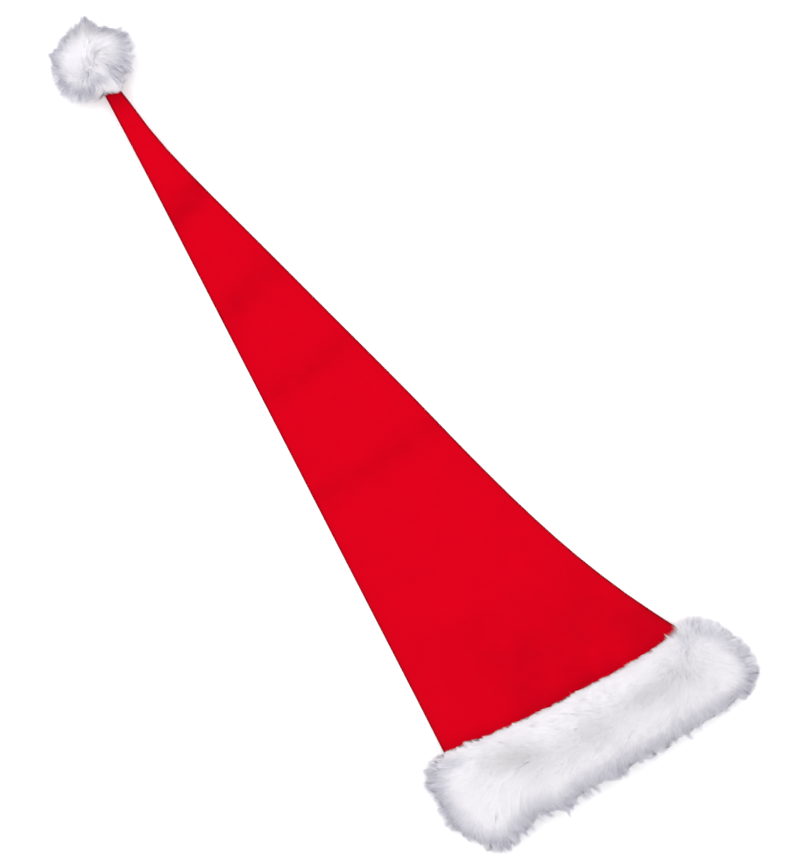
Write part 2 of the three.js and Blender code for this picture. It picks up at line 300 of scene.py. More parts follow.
class PlushSettings(bpy.types.PropertyGroup):
    """The white pile of the cuff."""

    strands: bpy.props.IntProperty(name="Strands", description="Strands on each part of the cuff",
                                   default=60000)
    inside_strands: bpy.props.IntProperty(name="Inside strands", description="Strands facing the head",
                                          default=20000)
    under_strands: bpy.props.IntProperty(name="Under strands", description="Strands pressed on the table",
                                         default=12000)
    reach: length_property("Reach", "How far a combed strand lies along the cuff", 19 * MM)
    hidden_reach: length_property("Hidden reach", "How far a strand lies inside and under the cuff", 13 * MM)
    depth: length_property("Depth", "Depth of the pile over its backing", 12 * MM)
    fringe: length_property("Fringe", "Width of the lower pile along the outline", 20 * MM)
    recess: length_property("Recess", "How far the fringe falls short of its spikes", 10 * MM)
    spike: length_property("Spike", "Longest spike along the outline", 12 * MM)
    spike_spacing: length_property("Spike spacing", "Distance between the spikes", 5.6 * MM)
    spike_radius: length_property("Spike radius", "Half width of a spike", 1.5 * MM)
    width: length_property("Strand width", "Width of a strand at its root", 0.32 * MM)
    tuft_spacing: length_property("Tuft spacing", "Distance between tufts", 11 * MM)
    wisp_spacing: length_property("Wisp spacing", "Distance between the wisps of a tuft", 3.4 * MM)
    tip: colour_property("Tip", "Pile at its tips", "#FEFDFF")
    # Painted depth shade: the pile is greyer at its roots.
    root: colour_property("Root", "Pile at its roots", "#F1F0F6")
    # The grey the tone mixes in: strands darker at random, and the shade painted on the fringe.
    shade: colour_property("Shade", "Pile of the darkest strands", "#ABABBA")
    # Painted shade in the hollows of the pile.
    painted_hollow_shade: colour_property("Pressed", "Pile that is pressed flat", "#B3B0AE")
    # Partly the backing's own colour and partly painted shade from deep in the pile.
    backing: colour_property("Backing", "Knitted ground under the pile", "#D5D4DD")


class PompomSettings(bpy.types.PropertyGroup):
    """The pompom's ball of plush."""

    strands: bpy.props.IntProperty(name="Strands", description="Strands on the ball", default=60000)
    reach: length_property("Reach", "How far a combed strand lies round the ball", 17 * MM)
    depth: length_property("Depth", "Depth of the pile over the core", 14 * MM)
    fringe: length_property("Fringe", "Width of the darker pile along the outline", 19 * MM)
    recess: length_property("Recess", "How far the sides fall short of their spikes", 7 * MM)
    spike: length_property("Spike", "Longest spike along the outline", 4.5 * MM)
    spike_spacing: length_property("Spike spacing", "Distance between the spikes", 3.6 * MM)
    spike_radius: length_property("Spike radius", "Half width of a spike", 1.2 * MM)
    width: length_property("Strand width", "Width of a strand at its root", 0.32 * MM)
    tuft_spacing: length_property("Tuft spacing", "Distance between tufts", 9 * MM)
    wisp_spacing: length_property("Wisp spacing", "Distance between the wisps of a tuft", 2.8 * MM)


class StageSettings(bpy.types.PropertyGroup):
    """Floor, light and camera."""

    floor_size: length_property("Floor", "Side of the floor", 30.0)
    camera_height: length_property("Camera height", "Height of the camera over the floor", 2.428)
    camera_lens: bpy.props.FloatProperty(name="Lens", description="Focal length in mm", default=100)
    camera_turn: bpy.props.FloatProperty(name="Turn", description="Turn of the picture about the vertical",
                                         default=math.radians(-27.22), subtype="ANGLE")
    key_power: bpy.props.FloatProperty(name="Key", description="Power of the overhead light", default=84,
                                       subtype="POWER")
    sky: bpy.props.FloatProperty(name="Sky", description="Strength of the even light all round",
                                 default=0.86)
    air: colour_property("Air", "Tint of the even light", "#FDFCFF")
    paper: colour_property("Paper", "The floor", "#FDFDFD")


def add_node(tree, kind, settings=None, inputs=None):
    """Adds a node, sets its fields, and gives each input a value or a link."""
    node = tree.nodes.new(kind)
    for field, value in (settings or {}).items():
        setattr(node, field, value)
    for socket, value in (inputs or {}).items():
        if isinstance(value, bpy.types.NodeSocket):
            tree.links.new(value, node.inputs[socket])
        else:
            node.inputs[socket].default_value = value
    return node


def new_material(name):
    """An empty node material and its tree."""
    material = bpy.data.materials.new(name)
    material.use_nodes = True
    material.node_tree.nodes.clear()
    return material, material.node_tree


def brushed_felt():
    """Brushed polyester felt: a dull, even nap with no weave. Fibres lie in every direction, so it has no
    gloss, only a faint bloom at grazing angles. Shade is painted into its colour: in the creases, near the
    cuff, along the fur line, by the pompom and along the edges."""
    settings = bpy.context.scene.felt
    material, tree = new_material("brushed_polyester_felt")
    place = add_node(tree, "ShaderNodeTexCoord").outputs["Object"]
    # Painted shade of the creases, the cuff side, the fur line, the tip and the edges, read from the cloth's
    # vertices.
    painted_shade = add_node(tree, "ShaderNodeAttribute", {"attribute_name": "painted_shade"}).outputs["Fac"]
    # Nap that was brushed this way and that, in patches about 30 mm wide.
    patches = add_node(tree, "ShaderNodeTexNoise", None,
                       {"Vector": place, "Scale": 1 / (30 * MM), "Detail": 3.0, "Roughness": 0.55})
    patch_tone = add_node(tree, "ShaderNodeMapRange", None,
                          {"Value": patches.outputs["Fac"], "From Min": 0.3, "From Max": 0.7,
                           "To Min": 0.0, "To Max": 0.055})
    # Fibres are about 0.03 mm wide; they are drawn at 0.9 mm, as coarse as a close view needs.
    fibres = add_node(tree, "ShaderNodeTexNoise", None,
                      {"Vector": place, "Scale": 1 / (0.9 * MM), "Detail": 4.0, "Roughness": 0.65,
                       "Distortion": 0.8})
    fibre_tone = add_node(tree, "ShaderNodeMapRange", None,
                          {"Value": fibres.outputs["Fac"], "From Min": 0.25, "From Max": 0.75,
                           "To Min": -0.04, "To Max": 0.04})
    shade = add_node(tree, "ShaderNodeMath", {"operation": "ADD"},
                     {0: patch_tone.outputs[0], 1: fibre_tone.outputs[0]})
    # Random tone of the nap plus the painted shade, which mixes the red towards the painted shade red.
    darkening = add_node(tree, "ShaderNodeMath", {"operation": "ADD", "use_clamp": True},
                    {0: shade.outputs[0], 1: painted_shade})
    colour = add_node(tree, "ShaderNodeMix", {"data_type": "RGBA"},
                      {0: darkening.outputs[0], 6: settings.red, 7: settings.painted_shade_red})
    bump = add_node(tree, "ShaderNodeBump", None,
                    {"Height": fibres.outputs["Fac"], "Strength": 0.25, "Distance": 0.25 * MM})
    shader = add_node(tree, "ShaderNodeBsdfPrincipled", None,
                      {"Base Color": colour.outputs[2], "Roughness": 0.92, "Specular IOR Level": 0.02,
                       "Sheen Weight": 0.08, "Sheen Roughness": 0.5, "Sheen Tint": settings.red,
                       "Normal": bump.outputs[0]})
    add_node(tree, "ShaderNodeOutputMaterial", None, {"Surface": shader.outputs[0]})
    return material


def plush_pile():
    """Acrylic long-pile plush: silky, slightly glossy strands that pass light, so thick tufts glow white and
    the gaps between them stay lavender grey. Shade is also painted in: greyer roots, fringe and hollows."""
    settings = bpy.context.scene.plush
    material, tree = new_material("acrylic_long_pile_plush")
    along = add_node(tree, "ShaderNodeAttribute", {"attribute_name": "along"}).outputs["Fac"]
    tone = add_node(tree, "ShaderNodeAttribute", {"attribute_name": "tone"}).outputs["Fac"]
    # Painted depth shade: greyer at the roots, white towards the tips.
    root_shade_fade = add_node(tree, "ShaderNodeMapRange", {"interpolation_type": "SMOOTHSTEP"},
                        {"Value": along, "From Min": 0.1, "From Max": 0.75, "To Min": 0.0, "To Max": 1.0})
    strand = add_node(tree, "ShaderNodeMix", {"data_type": "RGBA"},
                      {0: root_shade_fade.outputs[0], 6: settings.root, 7: settings.tip})
    # The tone mixes in the grey: random tone of the strands, and the shade painted on the fringe.
    shaded = add_node(tree, "ShaderNodeMix", {"data_type": "RGBA"},
                      {0: tone, 6: strand.outputs[2], 7: settings.shade})
    # Painted shade in the hollows.
    painted_shade = add_node(tree, "ShaderNodeAttribute", {"attribute_name": "painted_shade"}).outputs["Fac"]
    colour = add_node(tree, "ShaderNodeMix", {"data_type": "RGBA"},
                      {0: painted_shade, 6: shaded.outputs[2], 7: settings.painted_hollow_shade})
    shader = add_node(tree, "ShaderNodeBsdfPrincipled", None,
                      {"Base Color": colour.outputs[2], "Roughness": 0.5, "Specular IOR Level": 0.3})
    glow = add_node(tree, "ShaderNodeBsdfTranslucent", None, {"Color": colour.outputs[2]})
    both = add_node(tree, "ShaderNodeMixShader", None, {0: 0.35, 1: shader.outputs[0], 2: glow.outputs[0]})
    add_node(tree, "ShaderNodeOutputMaterial", None, {"Surface": both.outputs[0]})
    return material


def knitted_backing():
    """Knitted polyester ground of the plush: matt, off-white, with loops about 1.5 mm apart. Its grey is
    partly its own and partly painted shade from deep in the pile.
    """
    settings = bpy.context.scene.plush
    material, tree = new_material("knitted_polyester_backing")
    place = add_node(tree, "ShaderNodeTexCoord").outputs["Object"]
    loops = add_node(tree, "ShaderNodeTexVoronoi", None, {"Vector": place, "Scale": 1 / (1.5 * MM)})
    shade = add_node(tree, "ShaderNodeMapRange", None,
                     {"Value": loops.outputs["Distance"], "From Min": 0.0, "From Max": 0.8,
                      "To Min": 0.0, "To Max": 0.5})
    colour = add_node(tree, "ShaderNodeMix", {"data_type": "RGBA"},
                      {0: shade.outputs[0], 6: settings.tip, 7: settings.backing})
    bump = add_node(tree, "ShaderNodeBump", {"invert": True},
                    {"Height": loops.outputs["Distance"], "Strength": 0.5, "Distance": 0.4 * MM})
    shader = add_node(tree, "ShaderNodeBsdfPrincipled", None,
                      {"Base Color": colour.outputs[2], "Roughness": 0.95, "Specular IOR Level": 0.2,
                       "Normal": bump.outputs[0]})
    add_node(tree, "ShaderNodeOutputMaterial", None, {"Surface": shader.outputs[0]})
    return material


def seamless_paper():
    """Matt white background paper with a faint tooth."""
    settings = bpy.context.scene.stage
    material, tree = new_material("matt_background_paper")
    place = add_node(tree, "ShaderNodeTexCoord").outputs["Object"]
    tooth = add_node(tree, "ShaderNodeTexNoise", None,
                     {"Vector": place, "Scale": 1 / (2 * MM), "Detail": 2.0})
    bump = add_node(tree, "ShaderNodeBump", None,
                    {"Height": tooth.outputs["Fac"], "Strength": 0.05, "Distance": 0.1 * MM})
    shader = add_node(tree, "ShaderNodeBsdfPrincipled", None,
                      {"Base Color": settings.paper, "Roughness": 0.95, "Specular IOR Level": 0.1,
                       "Normal": bump.outputs[0]})
    add_node(tree, "ShaderNodeOutputMaterial", None, {"Surface": shader.outputs[0]})
    return material


def new_piece(name, mesh, material):
    """Links a mesh to the scene as a smooth piece of that material."""
    mesh.materials.append(material)
    mesh.polygons.foreach_set("use_smooth", [True] * len(mesh.polygons))
    piece = bpy.data.objects.new(name, mesh)
    bpy.context.scene.collection.objects.link(piece)
    return piece


def node_copy(node):
    """A bmesh of a CAD node with its loose triangles joined up."""
    shell = bmesh.new()
    shell.from_mesh(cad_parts[node].data)
    bmesh.ops.remove_doubles(shell, verts=shell.verts, dist=0.01 * MM)
    shell.normal_update()
    return shell


def mesh_from(shell, name):
    """A mesh of that name from a bmesh, which is freed."""
    mesh = bpy.data.meshes.new(name)
    shell.to_mesh(mesh)
    shell.free()
    return mesh


class CrownPlan:
    """Where the crown's outline and faces lie, read from the frame."""

    def __init__(self):
        shell = node_copy("crown")
        self.tree = BVHTree.FromBMesh(shell)
        self.points = np.array([vert.co for vert in shell.verts])
        self.edges = np.array([[vert.index for vert in edge.verts] for edge in shell.edges])
        shell.free()

    def seam_x(self, y):
        """x of the sewn edge at y."""
        starts, ends = self.points[self.edges[:, 0]], self.points[self.edges[:, 1]]
        crossing = (starts[:, 1] - y) * (ends[:, 1] - y) <= 0
        starts, ends = starts[crossing], ends[crossing]
        rise = ends[:, 1] - starts[:, 1]
        share = np.where(np.abs(rise) > 1e-9, (y - starts[:, 1]) / np.where(rise == 0, 1, rise), 0)
        return float(np.max(starts[:, 0] + share * (ends[:, 0] - starts[:, 0])))

    def face_z(self, x, y, upper):
        """Height of the upper or under face."""
        start = Vector((x, y, 1.0 if upper else -1.0))
        hit = self.tree.ray_cast(start, Vector((0, 0, -1.0 if upper else 1.0)))[0]
        return None if hit is None else hit.z


def lay_cloth(settings):
    """Both layers of the crown as one shell of even faces: joined along the fold, the sewn edge and the tip,
    open at the hem. Returns the bmesh, with the vertices of the upper layer tagged, and x of the sewn edge
    at each y."""
    plan = CrownPlan()
    seams = {}
    cloth = bmesh.new()
    for upper in (True, False):
        layer = bmesh.ops.create_grid(cloth, x_segments=settings.columns, y_segments=settings.rows, size=0.5)
        verts = layer["verts"]
        for vert in verts:
            share = 0.5 - 0.5 * math.cos(math.pi * (vert.co.x + 0.5))
            y = HEM_Y + (TIP_Y - HEM_Y) * min(vert.co.y + 0.5, LAST_ROW)
            y = max(y, HEM_Y + HEM_STEP)
            key = round(y, 6)
            if key not in seams:
                seams[key] = plan.seam_x(y)
            width = seams[key] - FOLD_X
            x = FOLD_X + width * share
            inside = min(max(x, FOLD_X + EDGE_STEP), FOLD_X + width - EDGE_STEP)
            top = plan.face_z(inside, y, True)
            base = plan.face_z(inside, y, False)
            if top is None or base is None:
                raise RuntimeError("the crown's face was missed at %.4f %.4f" % (inside, y))
            on_edge = share < 1e-6 or share > 1 - 1e-6 or vert.co.y > 0.4999
            z = (top + base) / 2 if on_edge else (top if upper else base)
            vert.co = (x, y, z)
            vert.tag = upper and not on_edge
        if not upper:
            faces = list({face for vert in verts for face in vert.link_faces})
            bmesh.ops.reverse_faces(cloth, faces=faces)
    bmesh.ops.remove_doubles(cloth, verts=cloth.verts, dist=0.002 * MM)
    cloth.normal_update()
    crest = [face for face in cloth.faces if face.calc_center_median().z > CREST_Z]
    if sum(face.normal.z * face.calc_area() for face in crest) < 0:
        bmesh.ops.reverse_faces(cloth, faces=cloth.faces)
    return cloth, seams


def drape_cloth(cloth, seams, settings):
    """Rounds off the facets, then works the creases, gathers and unevenness into the upper layer. Returns
    how much shade is painted at each vertex. Each noise has its own offset, so that no two line up."""
    inner = [vert for vert in cloth.verts if not vert.is_boundary]
    for _ in range(CLOTH_SMOOTHING):
        bmesh.ops.smooth_vert(cloth, verts=inner, factor=0.5, use_axis_x=False, use_axis_y=False,
                              use_axis_z=True)
    stations = np.array(sorted(seams))
    widths = np.array([seams[y] - FOLD_X for y in sorted(seams)])
    painted_shade = []
    for vert in cloth.verts:
        x, y = vert.co.x - FOLD_X, vert.co.y - FUR_LINE_Y
        width = float(np.interp(vert.co.y, stations, widths))
        share = min(max(x / width, 0), 1)
        edge = min(x, width - x)
        away = float(smooth_step(*RELIEF_ZONE, edge))
        spot = Vector((x, y, 0))
        wander = noise.noise(spot / WANDER_SIZE)
        grain = noise.noise(spot / GRAIN_SIZE + Vector((7, 3, 1)))
        dip, darkening = 0.0, 0.0
        for along, slant, depth, half, crease_shade in CREASES:
            off = y - along * MM - slant * x + wander * CREASE_WANDER
            crease = math.exp(-((off / (half * MM)) ** 2))
            dip += depth * MM * crease
            # Painted shade along the crease, made uneven by the grain noise.
            darkening += crease_shade * crease * (0.9 + 0.7 * grain)
        near_cuff = math.exp(-max(y, 0) / settings.pucker_reach)
        gathers = noise.noise(Vector((x / GATHER_WIDTH, y / GATHER_LENGTH, 2.0)))
        lift = settings.pucker_height * near_cuff * gathers
        lift += LONG_WAVE * noise.noise(spot / LONG_WAVE_LENGTH + Vector((2, 9, 4)))
        lift += SHORT_WAVE * noise.noise(spot / SHORT_WAVE_LENGTH + Vector((5, 1, 8)))
        seam_side = float(smooth_step(*SEAM_RIPPLE_ZONE, width - x))
        lift += SEAM_RIPPLE * seam_side * math.sin(2 * math.pi * y / SEAM_RIPPLE_LENGTH + 4 * wander)
        tip_side = float(smooth_step(*TIP_PLEAT_ZONE, y))
        lift += TIP_PLEAT * tip_side * math.sin(2 * math.pi * share * TIP_PLEATS)
        if vert.tag:
            vert.co.z += away * (lift - dip)
        # Painted shade: mottled near the cuff, along the fur line, towards the tip by the pompom and along
        # the edges.
        near_cuff_shade = float(smooth_step(*NEAR_CUFF_ZONE, y)) * float(smooth_step(*NEAR_CUFF_SHARE, share))
        darkening += NEAR_CUFF_SHADE * near_cuff_shade * (0.9 + 0.9 * wander + 0.5 * grain)
        darkening += FUR_LINE_SHADE * math.exp(-max(y, 0) / FUR_LINE_FADE)
        darkening += TIP_SHADE * float(smooth_step(*TIP_SHADE_ZONE, y))
        darkening += EDGE_SHADE * math.exp(-((edge / EDGE_FADE) ** 2))
        painted_shade.append(min(max(darkening, 0), 1))
    return painted_shade


class HAT_OT_crown_cloth(bpy.types.Operator):
    """Makes the red cloth cone, both layers lying flat"""

    bl_idname = "hat.crown_cloth"
    bl_label = "Crown cloth"

    def execute(self, context):
        settings = context.scene.felt
        cloth, seams = lay_cloth(settings)
        painted_shade = drape_cloth(cloth, seams, settings)
        mesh = mesh_from(cloth, "crown_cloth")
        # The painted shade is kept on the vertices for the felt to read.
        mesh.attributes.new("painted_shade", "FLOAT", "POINT").data.foreach_set("value", painted_shade)
        piece = new_piece("crown_cloth", mesh, brushed_felt())
        wall = piece.modifiers.new("cloth thickness", "SOLIDIFY")
        wall.thickness = settings.thickness
        wall.offset = -1
        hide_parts("crown")
        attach(piece, "root")
        return {"FINISHED"}


class PileGround:
    """The outer surface of a plush node, and how deep the pile is over its backing."""

    def __init__(self, node, depth, reshape=None):
        self.shell = node_copy(node)
        if reshape:
            reshape(self.shell)
        self.shell.verts.ensure_lookup_table()
        self.tree = BVHTree.FromBMesh(self.shell)
        self.points = np.array([vert.co for vert in self.shell.verts])
        self.normals = np.array([vert.normal for vert in self.shell.verts])
        self.triangles = np.array([[vert.index for vert in face.verts] for face in self.shell.faces])
        self.edges = np.array([[vert.index for vert in edge.verts] for edge in self.shell.edges])
        corners = self.points[self.triangles]
        crosses = np.cross(corners[:, 1] - corners[:, 0], corners[:, 2] - corners[:, 0])
        self.areas = np.linalg.norm(crosses, axis=1) / 2
        self.facing = unit(crosses)
        self.middles = corners.mean(axis=1)
        self.clearance = self.view_out()
        self.depths = self.measure_depths(depth)

    def measure_depths(self, depth):
        """Pile depth at each vertex: the wanted depth, or less where the wall is thin."""
        depths = []
        for point, normal in zip(self.points, self.normals):
            start = Vector(point - normal * INWARD_START)
            distance = self.tree.ray_cast(start, Vector(-normal))[3]
            depths.append(min(depth, max(WALL_SHARE * (distance or depth), LEAST_DEPTH)))
        depths = np.array(depths)
        starts, ends = self.edges.T
        for _ in range(DEPTH_SMOOTHING):
            total, count = depths.copy(), np.ones(len(depths))
            np.add.at(total, starts, depths[ends])
            np.add.at(total, ends, depths[starts])
            np.add.at(count, self.edges.ravel(), 1)
            depths = np.minimum(depths, total / count)
        return depths

    def view_out(self):
        """Distance from each triangle to what it faces, or infinity."""
        distances = []
        for middle, normal in zip(self.middles, self.facing):
            start = Vector(middle + normal * OUTWARD_START)
            distance = self.tree.ray_cast(start, Vector(normal))[3]
            distances.append(math.inf if distance is None else distance)
        return np.array(distances)

    def outline(self, spacing):
        """Places about that far apart along the outline seen from above: the ends of rows and of columns."""
        spots = []
        rng = np.random.default_rng(OUTLINE_SEED)
        places = self.scatter(np.isinf(self.clearance), RIM_SPOTS, rng)[0][:, :2]
        for axis in (0, 1):
            strips = np.floor(places[:, axis] / spacing)
            order = np.lexsort((places[:, 1 - axis], strips))
            turns = np.flatnonzero(np.diff(strips[order]))
            spots += list(places[order[np.append(0, turns + 1)]])
            spots += list(places[order[np.append(turns, len(order) - 1)]])
        return spots

    def spikes(self, rim, spacing, length, rng):
        """Tips and directions of spikes about that far apart along the rim, of any size up to the length."""
        spots = []
        for index in rng.permutation(len(rim)):
            if all(np.linalg.norm(rim[index] - spot) > spacing for spot in spots):
                spots.append(rim[index])
        spots = np.array(spots)
        places = self.scatter(np.isinf(self.clearance), SPIKE_SPOTS, rng)[0][:, :2]
        near = np.linalg.norm(spots[:, None, :] - places[None, :, :], axis=2) < SPIKE_GROUND
        ways = unit(spots - (near @ places) / near.sum(axis=1, keepdims=True))
        turns = rng.normal(0, SPIKE_TURN, len(spots))
        ways = ways * np.cos(turns)[:, None] + ways[:, ::-1] * (-1, 1) * np.sin(turns)[:, None]
        return spots + ways * rng.uniform(SPIKE_LEAST * length, length, len(spots))[:, None], ways

    def scatter(self, chosen, count, rng):
        """Random spots on the chosen triangles: places, normals and pile depths."""
        chosen = np.flatnonzero(chosen)
        edges = np.cumsum(self.areas[chosen])
        picks = chosen[np.searchsorted(edges, rng.random(count) * edges[-1])]
        first, second = np.sqrt(rng.random(count)), rng.random(count)
        weights = np.stack([1 - first, first * (1 - second), first * second], axis=1)[:, :, None]
        corners = self.triangles[picks]
        places = (self.points[corners] * weights).sum(axis=1)
        normals = unit((self.normals[corners] * weights).sum(axis=1))
        depths = (self.depths[corners] * weights[:, :, 0]).sum(axis=1)
        return places, normals, depths

    def nearest(self, spots):
        """The closest places of the surface and its normals there."""
        places, normals = np.empty_like(spots), np.empty_like(spots)
        for index, spot in enumerate(spots):
            places[index], normals[index] = self.tree.find_nearest(Vector(spot))[:2]
        return places, normals

    def backing(self, name):
        """The knitted ground under the pile, as a mesh."""
        for vert, depth in zip(self.shell.verts, self.depths):
            vert.co -= vert.normal * float(depth)
            vert.co.z = max(vert.co.z, BACKING_FLOOR)
        bmesh.ops.smooth_vert(self.shell, verts=self.shell.verts, factor=0.4, use_axis_x=True,
                              use_axis_y=True, use_axis_z=True)
        return mesh_from(self.shell, name)


def draw_in_cuff(shell):
    """Draws the cuff's outline in where its pile is sparse."""
    for vert in shell.verts:
        for x, y, heading, shift, radius in CUFF_INSETS:
            off_x, off_y = vert.co.x - FOLD_X - x * MM, vert.co.y - FUR_LINE_Y - y * MM
            share = math.exp(-(off_x ** 2 + off_y ** 2) / (radius * MM) ** 2)
            vert.co.x += shift * MM * share * math.cos(math.radians(heading))
            vert.co.y += shift * MM * share * math.sin(math.radians(heading))
    shell.normal_update()


def over_cloth(spot):
    """Whether a spot of the cuff lies along the line where the cloth comes out of it."""
    end = FOLD_X + CLOTH_WIDTH + CLOTH_GAP_MARGIN
    return spot[1] > FUR_LINE_Y - CLOTH_GAP_DEPTH and FOLD_X < spot[0] < end


def plan_distances(places, spots):
    """Distance in plan from each place to the nearest of the spots."""
    finder = KDTree(len(spots))
    for index, spot in enumerate(spots):
        finder.insert((spot[0], spot[1], 0), index)
    finder.balance()
    return np.array([finder.find((place[0], place[1], 0))[2] for place in places])


def read_headings(table, origin):
    """Spots and directions in plan from rows of x and y in mm from the origin, and a heading in degrees."""
    rows = np.array(table, float)
    heading = np.radians(rows[:, 2])
    return rows[:, :2] * MM + np.array(origin), np.stack([np.cos(heading), np.sin(heading)], axis=1)


def comb_field(places, table, origin, reach):
    """The combed direction at each place, and 0 to 1 for how well the rows round it agree."""
    spots, ways = read_headings(table, origin)
    gaps = ((places[:, None, :2] - spots[None, :, :]) ** 2).sum(axis=2)
    gaps -= gaps.min(axis=1, keepdims=True)
    weights = np.exp(-gaps / (2 * reach ** 2))
    flow = (weights[:, :, None] * ways[None, :, :]).sum(axis=1) / weights.sum(axis=1, keepdims=True)
    agreement = np.linalg.norm(flow, axis=1)
    return unit(np.concatenate([flow, np.zeros((len(places), 1))], axis=1)), agreement


class Pile:
    """The strands of one piece: where each is rooted, bends and ends, what it faces, and how dark it is."""

    LENGTHS = (0.65, 1.2)  # of strands, as shares of their reach
    SHORTFALLS = (0.35, 1.0)  # of standing strands, as shares of the recess
    DROPS = (0.5, 1.5)  # of strands that run on, as shares of the drop
    SLOWEST = 0.2  # least part of their heading that leads to the line
    LEAST_RUN = 1 * MM
    RISE, FORWARD = 0.9, 0.25  # of a bend: up through the pile, and on towards the tip
    BEND_PULL = 0.4  # of a gathered strand's bend, as a share of its tip's pull
    RAGGED_TONE = 0.5  # how unevenly the rim is shaded
    RIM_ZONE, LIT_ZONE = (1, 0.1), (-0.2, 0.8)  # of the shaded rim: distance, and upward part of the normal
    JOINING_PATCHES, JOINING_SIDES = (-0.4, -0.1), (-0.5, -0.1)  # noise, and upward part of the normal
    TUFT_ASIDE, TUFT_BEHIND = (1.6, 0.5), (1.8, 1.0)  # distances, as shares of the radius and the length
    TUFT_PULL = (-0.5, 1.2)  # least and most, as shares of the length
    TUFT_CLOSING, TUFT_FLATNESS = 0.85, 0.5  # how far a tuft draws together, and is shaded as lying flat

    def __init__(self, ground, chosen, count, rng):
        self.ground = ground
        self.rng = rng
        self.places, self.normals, self.depths = ground.scatter(chosen, count, rng)
        self.roots = self.places - self.normals * self.depths[:, None]
        self.tones = rng.normal(STRAND_TONE, STRAND_TONE_SPREAD, count)
        self.painted_shade = np.zeros(count)

    def comb(self, ways, loose):
        """Combs the strands roughly those ways, and any way where loose is 1. They droop on steep sides."""
        self.ways = ways + self.rng.normal(0, 1, ways.shape) * (COMB_SPREAD + loose)[:, None]
        self.ways[:, 2] = -DROOP
        along = self.ways - self.normals * (self.ways * self.normals).sum(axis=1, keepdims=True)
        self.lean = unit(along)

    def lay(self, reaches, lift):
        """Lays the strands along the surface."""
        count = len(self.places)
        self.reaches = (reaches * self.rng.uniform(*self.LENGTHS, count))[:, None]
        lying, self.tip_normals = self.ground.nearest(self.places + self.lean * self.reaches)
        self.tips = lying + self.tip_normals * self.rng.normal(lift[0], lift[1], count)[:, None]

    def seen(self):
        """Where each strand mostly shows."""
        return 0.3 * self.mids + 0.7 * self.tips

    def shade_rim(self, rim, width, tone):
        """Paints shade on the strands seen near the rim, the more the nearer, and less on the sides."""
        near = plan_distances(self.seen(), rim) / width
        ragged = 1 + self.RAGGED_TONE * self.rng.normal(0, 1, len(near))
        lit = smooth_step(*self.LIT_ZONE, self.normals[:, 2])
        self.tones += tone * ragged * smooth_step(*self.RIM_ZONE, near) * lit

    def paint_hollow_shade(self, hollows, origin):
        """Paints shade on the strands in the hollows, which greys them."""
        x, y = (self.seen()[:, :2] - origin).T
        for left, back, across, along, tone in hollows:
            spread = ((x - left * MM) / (across * MM)) ** 2 + ((y - back * MM) / (along * MM)) ** 2
            self.painted_shade += tone * np.exp(-spread)

    def stand_up(self, share, recess):
        """Turns the strands out of the surface by their share. They lean a little and end under the surface,
        by up to the recess."""
        short = recess * self.rng.uniform(*self.SHORTFALLS, len(self.places))
        proud = self.places - self.normals * short[:, None] + self.lean * self.reaches * STANDING_LEAN
        self.tips += (proud - self.tips) * share[:, None]
        self.tip_normals = unit(self.tip_normals + (self.normals - self.tip_normals) * share[:, None])

    def run_on(self, share, line, ragged, drop):
        """Lets the strands by their share run on past the edge of the surface to about the line, sinking."""
        flat = unit(self.ways * (1, 1, 0))
        ahead = line + self.rng.normal(0, ragged, len(flat)) - self.places[:, 1]
        most = self.LENGTHS[1] * self.reaches[:, 0]
        reaches = np.clip(ahead / np.maximum(flat[:, 1], self.SLOWEST), self.LEAST_RUN, most)
        over = self.places + flat * reaches[:, None]
        over[:, 2] -= drop * self.rng.uniform(*self.DROPS, len(over))
        self.tips += (over - self.tips) * share[:, None]
        self.tip_normals += ((0, 0, 1) - self.tip_normals) * share[:, None]

    def bend(self):
        """Bends each strand up off the backing and over to its tip."""
        up = self.normals * self.depths[:, None]
        self.mids = self.roots + up * self.RISE + (self.tips - self.roots) * self.FORWARD

    def gather(self, spacing, rule, fringe, free):
        """Draws the strands round each leader together, so that they end in a point and change tone as one.
        Free strands stay apart."""
        least, most, tone_spread, fringe_spread = rule
        grid, kept = set(), []
        for index in self.rng.permutation(len(self.roots)):
            cell = tuple(np.floor(self.roots[index] / spacing).astype(int))
            if cell not in grid:
                grid.add(cell)
                kept.append(index)
        kept = np.array(kept)
        finder = KDTree(len(kept))
        for order, index in enumerate(kept):
            finder.insert(Vector(self.roots[index]), order)
        finder.balance()
        nearest = np.array([finder.find(Vector(root))[1] for root in self.roots])
        pulls = (self.rng.uniform(least, most, len(kept))[nearest] * (1 - free))[:, None]
        self.tips += (self.tips[kept][nearest] - self.tips) * pulls
        self.mids += (self.mids[kept][nearest] - self.mids) * pulls * self.BEND_PULL
        self.tones += self.rng.normal(0, 1, len(kept))[nearest] * (tone_spread + fringe_spread * fringe)

    def joining(self, share):
        """Share by which each strand joins the spikes, which it does in patches over the sides."""
        patches = np.array([noise.noise(Vector(place) / SPIKE_PATCH) for place in self.places])
        sides = smooth_step(*self.JOINING_SIDES, self.normals[:, 2])
        return share * smooth_step(*self.JOINING_PATCHES, patches) * sides

